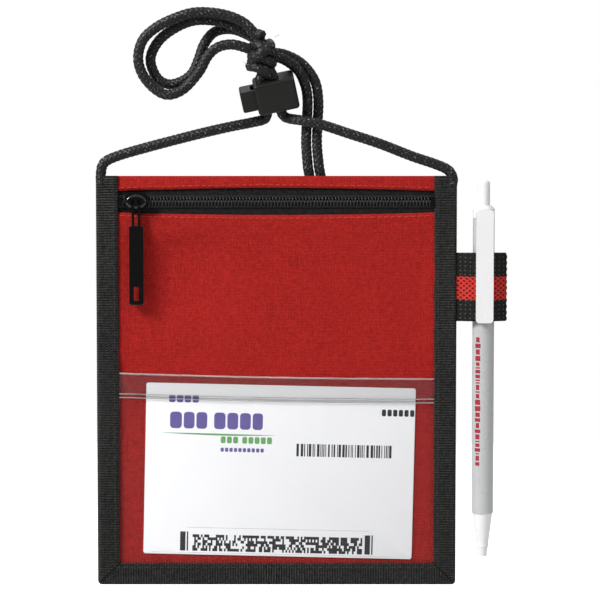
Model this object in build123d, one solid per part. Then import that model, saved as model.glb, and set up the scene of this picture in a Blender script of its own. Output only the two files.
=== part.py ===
from build123d import *
import math
import os

# Lanyard badge holder: a flat fabric pouch with a zip pocket and a clear badge window,
# hung from a round neck cord with a spring cord lock, and a webbing loop that holds a pen.
#
# Millimetres. +Z is up, the front faces -Y, and +X is the wearer's left as seen from the front.
# Everything is drawn about the pouch: x = 0 is its centre line, z = 0 its bottom edge and y = 0
# the middle of its two fabric plies. The last step moves the whole part so that its origin is
# the centre of its footprint, at its lowest point.

# ---- driving dimensions ----
POUCH_W = 133.4  # 5 1/4 in
POUCH_H = 152.4  # 6 in
FABRIC = 0.5  # ply thickness of the coated polyester
POCKET_GAP = 1.2  # free depth of the zip pocket between the two plies
BINDING_FACE = 8.2  # binding tape showing on each face: a 16 mm tape folded in half
BINDING_T = 0.55
CORNER_R = 3.0

HEADER_H = 4.6  # red band above the zip
ZIP_MOUTH_H = 9.7  # opening between the band and the front panel
TAPE_T = 0.35
TAPE_BEHIND = 3.0  # zip tape hidden behind each fabric edge
COIL_W = 3.6  # both halves together
COIL_T = 1.1
COIL_GAP = 0.9  # room for the slider's post
COIL_ROUND = 0.3

CARD_W = 100.0
CARD_H = 64.0
CARD_T = 0.35
CARD_R = 0.8
VINYL_T = 0.25
WINDOW_TOP = 78.2
HEM_H = 9.2

CORD_D = 3.8
WEB_W = 25.4  # 1 in webbing
WEB_T = 1.3
WEB_REACH = 18.8  # how far the loop stands out of the pouch's side
WEB_BOTTOM = 98.6

PEN_R = 4.0
PEN_X = POUCH_W / 2 + 10.0
PEN_TIP_Z = 10.7
PEN_TOP_Z = 150.9

GAP = 0.05  # clearance between plies that touch
RUN = 0.1  # clearance between parts that slide
SLIP = 0.08  # clearance round a part that turns or slides in a moulded bore
BITE = 0.2  # how far one feature of a piece runs into the next, so that they join
PAST = 1.0  # how far a cut runs past the material it opens

# ---- depths, worked out from the ply thicknesses (front is negative) ----
PLY_IN = POCKET_GAP / 2
PLY_OUT = PLY_IN + FABRIC
CARD_BACK = PLY_OUT + RUN
CARD_FRONT = CARD_BACK + CARD_T
VINYL_BACK = CARD_FRONT + RUN
VINYL_FRONT = VINYL_BACK + VINYL_T
BINDING_BACK = PLY_OUT + GAP
BINDING_FRONT = VINYL_FRONT + GAP
BINDING_OUT_FRONT = BINDING_FRONT + BINDING_T
BINDING_OUT_BACK = BINDING_BACK + BINDING_T
POUCH_MID_Y = (BINDING_OUT_BACK - BINDING_OUT_FRONT) / 2

HALF_W = POUCH_W / 2
INNER_X = HALF_W - BINDING_FACE
PANEL_X = HALF_W - BINDING_T - GAP
HEADER_Z = POUCH_H - HEADER_H
ZIP_MOUTH_Z = HEADER_Z - ZIP_MOUTH_H
ZIP_Z = (HEADER_Z + ZIP_MOUTH_Z) / 2
TAPE_FRONT = PLY_IN - GAP
TAPE_BACK = TAPE_FRONT - TAPE_T
COIL_BACK = TAPE_FRONT + GAP
COIL_FRONT = COIL_BACK + COIL_T


def slab(x0, x1, y0, y1, z0, z1):
    """A plain block between two corners."""
    return Pos((x0 + x1) / 2, (y0 + y1) / 2, (z0 + z1) / 2) * Box(x1 - x0, y1 - y0, z1 - z0)


def plate(width, height, radius, y_front, y_back, x=0.0, z=0.0):
    """A rounded plate that stands in the XZ plane, centred on (x, z)."""
    outline = Plane.XZ * RectangleRounded(width, height, radius)
    return Pos(x, y_back, z) * extrude(outline, y_back - y_front, dir=(0, -1, 0))


def rod(start, end, radius):
    """A straight round bar between two points."""
    axis = Vector(*end) - Vector(*start)
    return extrude(Plane(origin=start, z_dir=axis) * Circle(radius), axis.length)


def bent(points):
    """A path of straight stretches and round bends that rounds off the corners of a line."""
    corners = [Vector(*point) for point in points]
    edges = []
    here = corners[0]
    for before, corner, after in zip(corners, corners[1:], corners[2:]):
        reach = 0.49 * min((corner - before).length, (after - corner).length)
        back = (before - corner).normalized()
        onward = (after - corner).normalized()
        half_angle = math.radians(back.get_angle(onward)) / 2
        depth = reach / math.cos(half_angle) - reach * math.tan(half_angle)
        middle = corner + (back + onward).normalized() * depth
        edges.append(Edge.make_line(here, corner + back * reach))
        here = corner + onward * reach
        edges.append(Edge.make_three_point_arc(corner + back * reach, middle, here))
    edges.append(Edge.make_line(here, corners[-1]))
    return Wire(edges)


def cord(path):
    """The round cord laid along a path."""
    return sweep(Plane(origin=path @ 0, z_dir=path % 0) * Circle(CORD_D / 2), path=path)


def coil_spring(radius, wire, pitch, height):
    """An open spring of round wire that rises along +Z from the origin."""
    path = Helix(pitch=pitch, height=height, radius=radius)
    return sweep(Plane(origin=path @ 0, z_dir=path % 0) * Circle(wire / 2), path=path, is_frenet=True)


# ---- pouch fabric ----
def rounded_foot(shape, radius):
    """Rounds off the two bottom corners, as seen from the front."""
    return fillet(shape.edges().filter_by(Axis.Y).group_by(Axis.Z)[0], radius)


def fabric_ply(y_front, z0, z1):
    """A flat ply as wide as the binding's cavity, with the pouch's rounded bottom corners."""
    sheet = slab(-PANEL_X, PANEL_X, y_front, y_front + FABRIC, z0, z1)
    if z0 < CORNER_R:
        sheet = rounded_foot(sheet, CORNER_R - BINDING_T)
    return sheet


def back_panel():
    return fabric_ply(PLY_IN, BINDING_T + GAP, POUCH_H)


def front_panel():
    return fabric_ply(-PLY_OUT, BINDING_T + GAP, ZIP_MOUTH_Z)


def header_band():
    return fabric_ply(-PLY_OUT, HEADER_Z, POUCH_H)


def edge_binding():
    """One tape folded over the left, bottom and right edges: a channel, open at the top."""
    depth = BINDING_OUT_FRONT + BINDING_OUT_BACK
    inside_x = HALF_W - BINDING_T
    top = POUCH_H + PAST
    shell = Pos(0, POUCH_MID_Y, POUCH_H / 2) * Box(POUCH_W, depth, POUCH_H)
    shell = rounded_foot(shell, CORNER_R)
    cavity = slab(-inside_x, inside_x, -BINDING_FRONT, BINDING_BACK, BINDING_T, top)
    cavity = rounded_foot(cavity, CORNER_R - BINDING_T)
    faces = slab(-INNER_X, INNER_X, -depth, depth, BINDING_FACE, top)
    return shell - cavity - faces - pen_loop_slot()


def pen_loop_slot():
    """The gap in the right-hand edge where the webbing's two plies are sewn in."""
    low, high = WEB_BOTTOM - GAP, WEB_BOTTOM + WEB_W + GAP
    return slab(HALF_W - BINDING_T - PAST, HALF_W + PAST, -WEB_T - GAP, WEB_T + GAP, low, high)


# ---- zip ----
def zip_tape(z0, z1):
    return slab(-PANEL_X, PANEL_X, -TAPE_FRONT, -TAPE_BACK, z0, z1)


def zip_coil(side):
    """One row of the nylon coil, as a plain bar; side is +1 for the upper row."""
    inner, outer = COIL_GAP / 2, COIL_W / 2
    low, high = sorted((ZIP_Z + side * inner, ZIP_Z + side * outer))
    bar = slab(-INNER_X + RUN, INNER_X - RUN, -COIL_FRONT, -COIL_BACK, low, high)
    return fillet(bar.edges().filter_by(Axis.X), COIL_ROUND)


SLIDER_L = 8.4
SLIDER_H = 6.8
SLIDER_R = 2.2  # corners of its two plates
SLIDER_X = -51.7  # at the closed end of the zip
SLIDER_FRONT_T = 0.85
SLIDER_BACK_T = 0.55
POST_X = (-3.4, -0.6)  # the post lies towards the slider's closing end
POST_H = 0.7
FLANGE_L = 4.4
FLANGE_H = 0.9
FLANGE_OUT = 2.3  # from the zip's middle line
PLATE_BACK = COIL_FRONT + RUN
PLATE_FRONT = PLATE_BACK + SLIDER_FRONT_T

CROWN_W = 8.0
CROWN_H = 5.4
CROWN_T = 2.3
CROWN_ROUND = 0.9
CROWN_FRONT = PLATE_FRONT + CROWN_T
CROWN_NOTCH = 2.6  # how far the notches for the prongs run above the pin

PIN_R = 0.5
PIN_Y = PLATE_FRONT + 0.9
PIN_Z = ZIP_Z - 1.7
PRONG_X = 1.15  # centre of each of the pull's two prongs
PRONG_W = 0.95
PIN_REACH = PRONG_X + PRONG_W / 2

PULL_PLATE_W = 5.2
PULL_T = 1.4
PULL_R = 0.6
PULL_CHAMFER = 0.3
PULL_LOW_Z = ZIP_Z - 38.2
PULL_SHOULDER_Z = ZIP_Z - 8.9
PULL_SLOT_W = 1.9
PULL_SLOT_H = 5.2
PULL_SLOT_R = 0.3
PULL_SLOT_UP = 4.2  # the slot's centre above the pull's end
PRONG_ROOT = 0.6

STOP_L = 1.4
STOP_T = 0.35
STOP_H = 3.8


def across_slider(reach, radius):
    """A round bar on the pull's hinge line."""
    return rod((SLIDER_X - reach, -PIN_Y, PIN_Z), (SLIDER_X + reach, -PIN_Y, PIN_Z), radius)


def slider_body():
    """Front and back plates joined by the post that parts the two rows, with guide flanges."""
    back_y = -TAPE_BACK + RUN
    body = plate(SLIDER_L, SLIDER_H, SLIDER_R, -PLATE_FRONT, -PLATE_BACK, SLIDER_X, ZIP_Z)
    body += plate(SLIDER_L, SLIDER_H, SLIDER_R, back_y, back_y + SLIDER_BACK_T, SLIDER_X, ZIP_Z)
    post_x0, post_x1 = SLIDER_X + POST_X[0], SLIDER_X + POST_X[1]
    body += slab(post_x0, post_x1, -PLATE_BACK - BITE, back_y + BITE, ZIP_Z - POST_H / 2, ZIP_Z + POST_H / 2)
    flange_x0, flange_x1 = SLIDER_X - FLANGE_L / 2, SLIDER_X + FLANGE_L / 2
    for low in (ZIP_Z + FLANGE_OUT, ZIP_Z - FLANGE_OUT - FLANGE_H):
        body += slab(flange_x0, flange_x1, -PLATE_BACK - BITE, -TAPE_FRONT - RUN, low, low + FLANGE_H)
    return body


def slider_crown():
    """The oval cap that keeps the pull's pin, notched so that the two prongs can swing up."""
    oval = Plane.XZ * Ellipse(CROWN_W / 2, CROWN_H / 2)
    cap = extrude(oval, CROWN_FRONT - PLATE_FRONT - GAP, dir=(0, -1, 0))
    cap = fillet(cap.edges().group_by(Axis.Y)[0], CROWN_ROUND)
    cap = Pos(SLIDER_X, -PLATE_FRONT - GAP, ZIP_Z) * cap
    room = PIN_R + RUN
    cap -= across_slider(PIN_REACH + RUN, room)
    half_notch = PRONG_W / 2 + RUN
    for side in (-1, 1):
        x = SLIDER_X + side * PRONG_X
        low, high = ZIP_Z - CROWN_H, PIN_Z + CROWN_NOTCH
        cap -= slab(x - half_notch, x + half_notch, -CROWN_FRONT - PAST, -PIN_Y + room, low, high)
    return cap


def zip_pull():
    """Die-cast pull: a pin and two prongs at the top, then a long plate with a slot near its end."""
    mid_z = (PULL_LOW_Z + PULL_SHOULDER_Z) / 2
    height = PULL_SHOULDER_Z - PULL_LOW_Z
    front, back = -PIN_Y - PULL_T / 2, -PIN_Y + PULL_T / 2
    body = plate(PULL_PLATE_W, height, PULL_R, front, back, SLIDER_X, mid_z)
    body = chamfer(body.edges().group_by(Axis.Y)[0], PULL_CHAMFER)
    slot_z = PULL_LOW_Z + PULL_SLOT_UP
    body -= plate(PULL_SLOT_W, PULL_SLOT_H, PULL_SLOT_R, front - PAST, back + PAST, SLIDER_X, slot_z)
    for side in (-1, 1):
        x = SLIDER_X + side * PRONG_X
        x0, x1 = x - PRONG_W / 2, x + PRONG_W / 2
        body += slab(x0, x1, -PIN_Y - PIN_R, -PIN_Y + PIN_R, PULL_SHOULDER_Z - PRONG_ROOT, PIN_Z)
    return body + across_slider(PIN_REACH, PIN_R)


def zip_stops():
    """The two end stops clamped over the rows, one at each end of the zip."""
    low, high = ZIP_Z - STOP_H / 2, ZIP_Z + STOP_H / 2
    front, back = -COIL_FRONT - STOP_T, -COIL_FRONT - GAP
    starts = (-INNER_X + RUN, INNER_X - RUN - STOP_L)
    return Compound([slab(x, x + STOP_L, front, back, low, high) for x in starts])


# ---- badge window ----
def clear_window():
    """Vinyl sheet under the binding on three sides, its top edge folded forward into a hem."""
    low = BINDING_T + GAP
    sheet = slab(-PANEL_X, PANEL_X, -VINYL_FRONT, -VINYL_BACK, low, WINDOW_TOP)
    sheet = rounded_foot(sheet, CORNER_R - BINDING_T)
    hem_x = INNER_X - RUN
    hem_back = VINYL_FRONT + GAP
    hem = slab(-hem_x, hem_x, -hem_back - VINYL_T, -hem_back, WINDOW_TOP - HEM_H, WINDOW_TOP)
    fold = slab(-hem_x, hem_x, -hem_back - VINYL_T, -VINYL_BACK, WINDOW_TOP - VINYL_T, WINDOW_TOP)
    return sheet + hem + fold


CARD_X = 1.0
CARD_MID_Z = 42.7
CARD_TILT = 1.3  # the card has slipped round a little in its pocket


def badge_card():
    card = plate(CARD_W, CARD_H, CARD_R, -CARD_FRONT, -CARD_BACK)
    return Pos(CARD_X, 0, CARD_MID_Z) * Rotation(0, CARD_TILT, 0) * card


# ---- pen loop ----
PEN_ROOM = PEN_R + 0.35
PINCH_R = 0.3  # inner radius where the webbing is pinched flat
LOOP_ROOT = 0.9  # from the pouch's edge to the inner pinch
TAIL_IN = 0.4  # how far the tail goes into the binding's slot
LOOP_END_X = HALF_W + WEB_REACH


def loop_outline(grow):
    """The webbing's path seen from above: snug round the pen, pinched at both ends."""
    circles = [
        Pos(PEN_X, 0) * Circle(PEN_ROOM + grow),
        Pos(LOOP_END_X - WEB_T - PINCH_R, 0) * Circle(PINCH_R + grow),
        Pos(HALF_W + LOOP_ROOT, 0) * Circle(PINCH_R + grow),
    ]
    return make_hull([edge for c in circles for edge in c.edges()])


def pen_loop():
    ring = extrude(loop_outline(WEB_T) - loop_outline(0), WEB_W)
    tail = slab(HALF_W - TAIL_IN, HALF_W + LOOP_ROOT, -WEB_T, WEB_T, 0, WEB_W)
    return Pos(0, 0, WEB_BOTTOM) * (ring + tail)


# ---- cord lock ----
LOCK_X, LOCK_Y, LOCK_Z = -0.5, -0.4, 182.9
LOCK_ROLL = 12.0  # the lock hangs rolled to one side
LOCK_LEAN = 25.0  # and leans its top forwards
LOCK_BODY = (15.4, 9.4, 12.4)
LOCK_BODY_MID_X = 0.3
LOCK_ROUND = 1.3
LOCK_HALF_H = LOCK_BODY[2] / 2
CORD_SLOTS = (-4.3, 0.5)  # where the two cord runs pass through, along the lock
LOCK_TRAVEL = 2.2
POCKET_END = 7.1  # inner end of the plunger's pocket
PLUNGER_W = 8.2
PLUNGER_D = 6.4
PLUNGER_OUT = -12.8
PLUNGER_IN = 3.6
PLUNGER_ROUND = 0.7
SPRING_R = 1.9
SPRING_WIRE = 0.35
SPRING_PITCH = 0.42

LOCK_FRAME = Pos(LOCK_X, LOCK_Y, LOCK_Z) * Rotation(0, -LOCK_ROLL, 0) * Rotation(LOCK_LEAN, 0, 0)


def in_lock(x, y, z):
    """A point given in the lock's own axes, as a point of the part."""
    return (LOCK_FRAME * Pos(x, y, z)).position


def lock_body():
    """Rounded shell with a pocket for the plunger and two holes for the cord."""
    width, depth, height = LOCK_BODY
    shell = Pos(LOCK_BODY_MID_X, 0, 0) * fillet(Box(width, depth, height).edges(), LOCK_ROUND)
    half_d = PLUNGER_D / 2 + RUN
    half_w = PLUNGER_W / 2 + RUN
    shell -= slab(-width, POCKET_END, -half_d, half_d, -half_w, half_w)
    for x in CORD_SLOTS:
        shell -= Pos(x, 0, 0) * Cylinder(CORD_D / 2 + RUN, height + 2 * PAST)
    return LOCK_FRAME * shell


def lock_plunger():
    """The push button: a bar with one long window that both runs of the cord go through."""
    half_d = PLUNGER_D / 2
    half_w = PLUNGER_W / 2
    bar = slab(PLUNGER_OUT, PLUNGER_IN, -half_d, half_d, -half_w, half_w)
    bar = fillet(bar.edges().group_by(Axis.X)[0], PLUNGER_ROUND)
    room = CORD_D / 2 + RUN
    x0, x1 = CORD_SLOTS[0] - room - LOCK_TRAVEL, CORD_SLOTS[1] + room
    window = slab(x0, x1, -room, room, -PLUNGER_W, PLUNGER_W)
    return LOCK_FRAME * (bar - window)


def lock_spring():
    """Return spring, drawn at its pressed length so that the plunger never runs into it."""
    room = POCKET_END - PLUNGER_IN - LOCK_TRAVEL
    height = room - SPRING_WIRE - 2 * GAP
    spring = coil_spring(SPRING_R, SPRING_WIRE, SPRING_PITCH, height)
    near_end = POCKET_END - GAP - SPRING_WIRE / 2 - height
    return LOCK_FRAME * Pos(near_end, 0, 0) * Rotation(0, 90, 0) * spring


# ---- neck cord: one length, laid out as its visible bends ----
HINGE_Z = POUCH_H + CORD_D / 2 + RUN  # the line that the pouch swings about
CORD_Y = POUCH_MID_Y
CORD_END_X = HALF_W - CORD_D / 2
REAR_Y = BINDING_OUT_BACK + CORD_D / 2 + 0.3  # runs that lie behind the pouch
LEAD_ABOVE = 0.2  # where a lead starts above the lock
LEAD_BELOW = 4.3  # and how far it stays straight below it
COIL_Y = -3.2  # the outer coiled run
COIL_IN_Y = COIL_Y + CORD_D + RUN
COIL_REAR_Y = COIL_IN_Y + CORD_D + RUN

KNOT_LOW = (-5.6, -3.0, 190.6)
KNOT_HIGH = (-3.9, -1.4, 203.0)
KNOT_R = 4.9
KNOT_ROUND = 1.8
# The strands stop a hair clear of the knot instead of running into it.
KNOT_LEFT_X = -9.9
KNOT_RIGHT_X = 0.6
KNOT_TOP_Z = 205.3


def lead_path(slot, bends, end_x):
    """From the lock's top, straight through it and down to one sewn corner of the pouch."""
    top = in_lock(slot, 0, LOCK_HALF_H + LEAD_ABOVE)
    under = in_lock(slot, 0, -LOCK_HALF_H - LEAD_BELOW)
    return bent([top, under, *bends, (end_x, CORD_Y, HINGE_Z)])


def left_lead():
    bends = [(-11.2, 2.6, 171.8), (-26.0, CORD_Y, 168.9), (-48.9, CORD_Y, 163.0), (-64.0, CORD_Y, 159.0)]
    return lead_path(CORD_SLOTS[0], bends, -CORD_END_X)


def right_lead():
    bends = [(9.8, 0.6, 172.7), (27.0, CORD_Y, 168.0), (58.0, CORD_Y, 157.5)]
    return lead_path(CORD_SLOTS[1], bends, CORD_END_X)


def cord_leads():
    return Compound([cord(path()).solid() for path in (left_lead, right_lead)])


def outer_coil():
    """The outer of the two coiled runs, out of the knot's top and back to its side."""
    bends = [
        (-7.4, KNOT_TOP_Z), (-11.4, 209.3), (-24.0, 214.0), (-42.0, 210.5), (-53.0, 198.0), (-47.5, 183.6),
        (-34.8, 181.2), (-25.2, 200.8), (KNOT_LEFT_X, 199.0),
    ]
    return bent([(x, COIL_Y, z) for x, z in bends])


def inner_coil():
    """The inner coiled run, which turns up inside the other and goes back behind it."""
    front = [
        (-8.2, KNOT_TOP_Z), (-24.0, 210.6), (-41.0, 207.4), (-49.0, 194.0), (-42.0, 184.6), (-32.0, 186.0),
    ]
    back = [(-26.6, 1.6, 201.4), (-22.0, COIL_REAR_Y, 207.4), (-8.6, COIL_REAR_Y, 203.0)]
    return bent([(x, COIL_IN_Y, z) for x, z in front] + back)


def cord_coils():
    return Compound([cord(path()).solid() for path in (outer_coil, inner_coil)])


def neck_run():
    """Both strands of the neck loop, down behind the pouch and round its far end."""
    down = [
        (KNOT_RIGHT_X, -0.2, 195.6), (9.4, 1.6, 194.6), (11.9, 4.8, 181.0), (10.9, 4.8, 164.0),
        (12.4, REAR_Y, 148.0), (12.4, REAR_Y, 60.0),
    ]
    bight = [(7.5, REAR_Y, 46.0), (9.5, REAR_Y, 33.0), (19.5, REAR_Y, 33.0), (21.5, REAR_Y, 46.0)]
    up = [
        (16.6, REAR_Y, 60.0), (16.6, REAR_Y, 148.0), (15.0, 4.8, 164.0), (16.0, 5.0, 181.0),
        (11.6, 5.8, 197.4), (KNOT_RIGHT_X, 3.8, 197.4),
    ]
    return bent(down + bight + up)


def neck_loop():
    return cord(neck_run())


def cord_knot():
    """The turns of cord that bind the runs together, as one rounded barrel."""
    axis = Vector(*KNOT_HIGH) - Vector(*KNOT_LOW)
    barrel = Cylinder(KNOT_R, axis.length, align=(Align.CENTER, Align.CENTER, Align.MIN))
    barrel = fillet(barrel.edges(), KNOT_ROUND)
    return Plane(origin=KNOT_LOW, z_dir=axis).location * barrel


# ---- pen ----
BARREL_LOW = 27.0
BARREL_HIGH = 136.8
BARREL_BORE = 3.2
SPIGOT_R = BARREL_BORE - GAP
SPIGOT_L = 7.0  # of the nose cone, inside the barrel
NOSE_TIP_R = 1.7
NOSE_TOP_R = 3.7

CAP_TOP = 141.5
CAP_WALL = 2.3
CAP_SPIGOT = 6.0
CAP_BEVEL = 1.3
CAP_TOP_R = 2.9
SKIRT_R = 2.5
SKIRT_BORE = SKIRT_R + RUN
CLIP_W = 6.4
CLIP_T = 1.3
CLIP_R = 1.3
CLIP_BACK = PEN_ROOM + WEB_T + 0.2
CLIP_LOW = 98.3
CLIP_HIGH = CAP_TOP - 1.5
BRIDGE_BACK = 2.6

BUTTON_R = 2.25
BUTTON_ROUND = 0.8
REFILL_R = 1.5
REFILL_JOIN = 22.0  # where the metal tip meets the ink tube
REFILL_TOP = 118.0
CRIMP_Z = 32.0
CRIMP_H = 0.8
CRIMP_R = 1.95
TIP_R = 1.15
TIP_BORE = TIP_R + SLIP
TIP_START = PEN_TIP_Z + 1.0  # the ball stays inside the nose until the pen is clicked
BALL_R = 0.4
BALL_NECK = (0.5, 1.6)
TIP_TAPER = 5.4

CAM_R = 2.0
CAM_H = 10.3
FIN_T = 1.0
FIN_Z = (2.0, 8.0)
FIN_COUNT = 4
CAM_ROOM = 10.5  # from the refill's top to the button's foot

SPRING_BORE = 2.3
PEN_SPRING_R = 1.9
PEN_SPRING_WIRE = 0.35
PEN_SPRING_PITCH = 1.75
PEN_SPRING_LOW = 14.3


def turned(profile):
    """A turned piece on the pen's axis, from (radius, z) points."""
    outline = Plane.XZ * make_face(Polyline(*profile, close=True))
    return Pos(PEN_X, 0, 0) * revolve(outline, Axis.Z)


def pen_barrel():
    return turned(
        [(BARREL_BORE, BARREL_LOW), (PEN_R, BARREL_LOW), (PEN_R, BARREL_HIGH), (BARREL_BORE, BARREL_HIGH)]
    )


def pen_cap_clip():
    """End cap with its spigot in the barrel and the pocket clip moulded on."""
    hole = BUTTON_R + SLIP
    foot = BARREL_HIGH - CAP_SPIGOT
    ledge = CAP_TOP - CAP_WALL
    cap = turned(
        [
            (SKIRT_BORE, foot), (SPIGOT_R, foot), (SPIGOT_R, BARREL_HIGH + GAP), (PEN_R, BARREL_HIGH + GAP),
            (PEN_R, CAP_TOP - CAP_BEVEL), (CAP_TOP_R, CAP_TOP), (hole, CAP_TOP), (hole, ledge),
            (SKIRT_BORE, ledge),
        ]
    )
    mid_z = (CLIP_HIGH + CLIP_LOW) / 2
    clip = plate(CLIP_W, CLIP_HIGH - CLIP_LOW, CLIP_R, -CLIP_BACK - CLIP_T, -CLIP_BACK, PEN_X, mid_z)
    x0, x1 = PEN_X - CLIP_W / 2, PEN_X + CLIP_W / 2
    bridge = slab(x0, x1, -CLIP_BACK - BITE, -BRIDGE_BACK, BARREL_HIGH + BITE, ledge - BITE)
    bore = Pos(PEN_X, 0, BARREL_HIGH) * Cylinder(SKIRT_BORE, 2 * CAP_SPIGOT)
    return cap + clip + (bridge - bore)


def pen_button():
    low = REFILL_TOP + CAM_ROOM
    ledge = CAP_TOP - CAP_WALL - GAP
    return turned(
        [
            (0, low), (SKIRT_R, low), (SKIRT_R, ledge), (BUTTON_R, ledge),
            (BUTTON_R, PEN_TOP_Z - BUTTON_ROUND), (BUTTON_R - BUTTON_ROUND, PEN_TOP_Z), (0, PEN_TOP_Z),
        ]
    )


def pen_cam():
    """The ratchet wheel between the button and the refill, with its guide fins."""
    low = REFILL_TOP + GAP
    core = Pos(PEN_X, 0, low) * Cylinder(CAM_R, CAM_H, align=(Align.CENTER, Align.CENTER, Align.MIN))
    fin = slab(0, BARREL_BORE - SLIP, -FIN_T / 2, FIN_T / 2, low + FIN_Z[0], low + FIN_Z[1])
    for turn in range(FIN_COUNT):
        core += Pos(PEN_X, 0, 0) * Rotation(0, 0, 360 / FIN_COUNT * turn) * fin
    return core


def pen_nose_cone():
    top = BARREL_LOW - GAP
    floor = PEN_SPRING_LOW - GAP
    return turned(
        [
            (TIP_BORE, PEN_TIP_Z), (NOSE_TIP_R, PEN_TIP_Z), (NOSE_TOP_R, top), (SPIGOT_R, top),
            (SPIGOT_R, BARREL_LOW + SPIGOT_L), (SPRING_BORE, BARREL_LOW + SPIGOT_L), (SPRING_BORE, floor),
            (TIP_BORE, floor),
        ]
    )


def pen_refill_tip():
    neck_r, neck_up = BALL_NECK
    return turned(
        [
            (0, TIP_START), (BALL_R, TIP_START), (neck_r, TIP_START + neck_up), (TIP_R, TIP_START + TIP_TAPER),
            (TIP_R, REFILL_JOIN), (0, REFILL_JOIN),
        ]
    )


def pen_refill_tube():
    """Ink tube with the crimp that the spring pushes on."""
    low = REFILL_JOIN + GAP
    return turned(
        [
            (0, low), (REFILL_R, low), (REFILL_R, CRIMP_Z), (CRIMP_R, CRIMP_Z), (CRIMP_R, CRIMP_Z + CRIMP_H),
            (REFILL_R, CRIMP_Z + CRIMP_H), (REFILL_R, REFILL_TOP), (0, REFILL_TOP),
        ]
    )


def pen_spring():
    height = CRIMP_Z - PEN_SPRING_LOW - PEN_SPRING_WIRE - 2 * GAP
    spring = coil_spring(PEN_SPRING_R, PEN_SPRING_WIRE, PEN_SPRING_PITCH, height)
    return Pos(PEN_X, 0, PEN_SPRING_LOW + GAP + PEN_SPRING_WIRE / 2) * spring


PARTS = {
    "back_panel": back_panel(),
    "front_panel": front_panel(),
    "header_band": header_band(),
    "edge_binding": edge_binding(),
    "zip_tape_upper": zip_tape(ZIP_Z + COIL_GAP / 2, HEADER_Z + TAPE_BEHIND),
    "zip_tape_lower": zip_tape(ZIP_MOUTH_Z - TAPE_BEHIND, ZIP_Z - COIL_GAP / 2),
    "zip_coil_upper": zip_coil(1),
    "zip_coil_lower": zip_coil(-1),
    "zip_stops": zip_stops(),
    "zip_slider_body": slider_body(),
    "zip_slider_crown": slider_crown(),
    "zip_pull": zip_pull(),
    "clear_window": clear_window(),
    "badge_card": badge_card(),
    "pen_loop": pen_loop(),
    "neck_loop": neck_loop(),
    "cord_knot": cord_knot(),
    "cord_coils": cord_coils(),
    "cord_leads": cord_leads(),
    "lock_body": lock_body(),
    "lock_plunger": lock_plunger(),
    "lock_spring": lock_spring(),
    "pen_barrel": pen_barrel(),
    "pen_cap_clip": pen_cap_clip(),
    "pen_button": pen_button(),
    "pen_cam": pen_cam(),
    "pen_nose_cone": pen_nose_cone(),
    "pen_refill_tube": pen_refill_tube(),
    "pen_refill_tip": pen_refill_tip(),
    "pen_spring": pen_spring(),
}

box = Compound([solid for shape in PARTS.values() for solid in shape.solids()]).bounding_box()
to_origin = Pos(-box.center().X, -box.center().Y, -box.min.Z)
os.makedirs("parts", exist_ok=True)
for name, shape in PARTS.items():
    export_step(to_origin * shape, f"parts/{name}.step")
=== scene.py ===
import math
import random

import bmesh
import bpy
import numpy as np
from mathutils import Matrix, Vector, noise


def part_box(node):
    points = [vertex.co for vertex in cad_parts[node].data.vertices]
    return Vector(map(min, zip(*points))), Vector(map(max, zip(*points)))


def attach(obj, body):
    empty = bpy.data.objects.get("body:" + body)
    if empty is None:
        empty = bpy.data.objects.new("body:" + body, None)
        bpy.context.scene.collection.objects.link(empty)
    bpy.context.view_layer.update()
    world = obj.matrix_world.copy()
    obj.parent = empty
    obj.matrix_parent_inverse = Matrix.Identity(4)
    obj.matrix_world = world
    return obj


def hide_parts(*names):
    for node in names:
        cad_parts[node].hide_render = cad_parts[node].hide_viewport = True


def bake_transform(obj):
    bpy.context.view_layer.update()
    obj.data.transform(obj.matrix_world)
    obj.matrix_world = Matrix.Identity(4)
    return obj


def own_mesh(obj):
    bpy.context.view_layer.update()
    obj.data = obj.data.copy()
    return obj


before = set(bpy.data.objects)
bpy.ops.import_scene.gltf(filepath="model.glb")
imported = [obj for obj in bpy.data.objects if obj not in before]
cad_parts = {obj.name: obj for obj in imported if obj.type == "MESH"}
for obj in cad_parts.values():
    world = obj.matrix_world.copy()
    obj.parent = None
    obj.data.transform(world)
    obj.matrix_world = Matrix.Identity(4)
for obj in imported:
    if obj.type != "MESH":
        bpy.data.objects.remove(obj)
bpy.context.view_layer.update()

# Everything is drawn in millimetres about the pouch: x = 0 on its centre line, z = 0 at its
# bottom edge, y = 0 between its two fabric plies, with the front facing -y.
MM = 0.001
binding_low, binding_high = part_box("edge_binding")
BACK_OF_BINDING = 1.7  # the binding's back face lies this far behind y = 0
ORIGIN = Vector(((binding_low.x + binding_high.x) / 2, binding_high.y - BACK_OF_BINDING * MM, binding_low.z))

HALF_W = 66.7
POUCH_H = 152.4
BINDING_W = 8.2
INNER_X = HALF_W - BINDING_W
HEADER_Z = 147.8  # lower edge of the red band above the zip
MOUTH_Z = 138.1  # upper edge of the front ply, below the zip
ZIP_Z = 142.95
WINDOW_TOP = 78.2
HEM_H = 9.2
PEN_X = 76.7
CORD_R = 1.9
CORD_Y = -0.4  # depth of the two leads where they meet the pouch


# ---- mesh helpers ----
def to_frame(points):
    """Points of the pouch in millimetres, as row-frame metres."""
    return np.asarray(points, float) * MM + np.array(ORIGIN)


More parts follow.
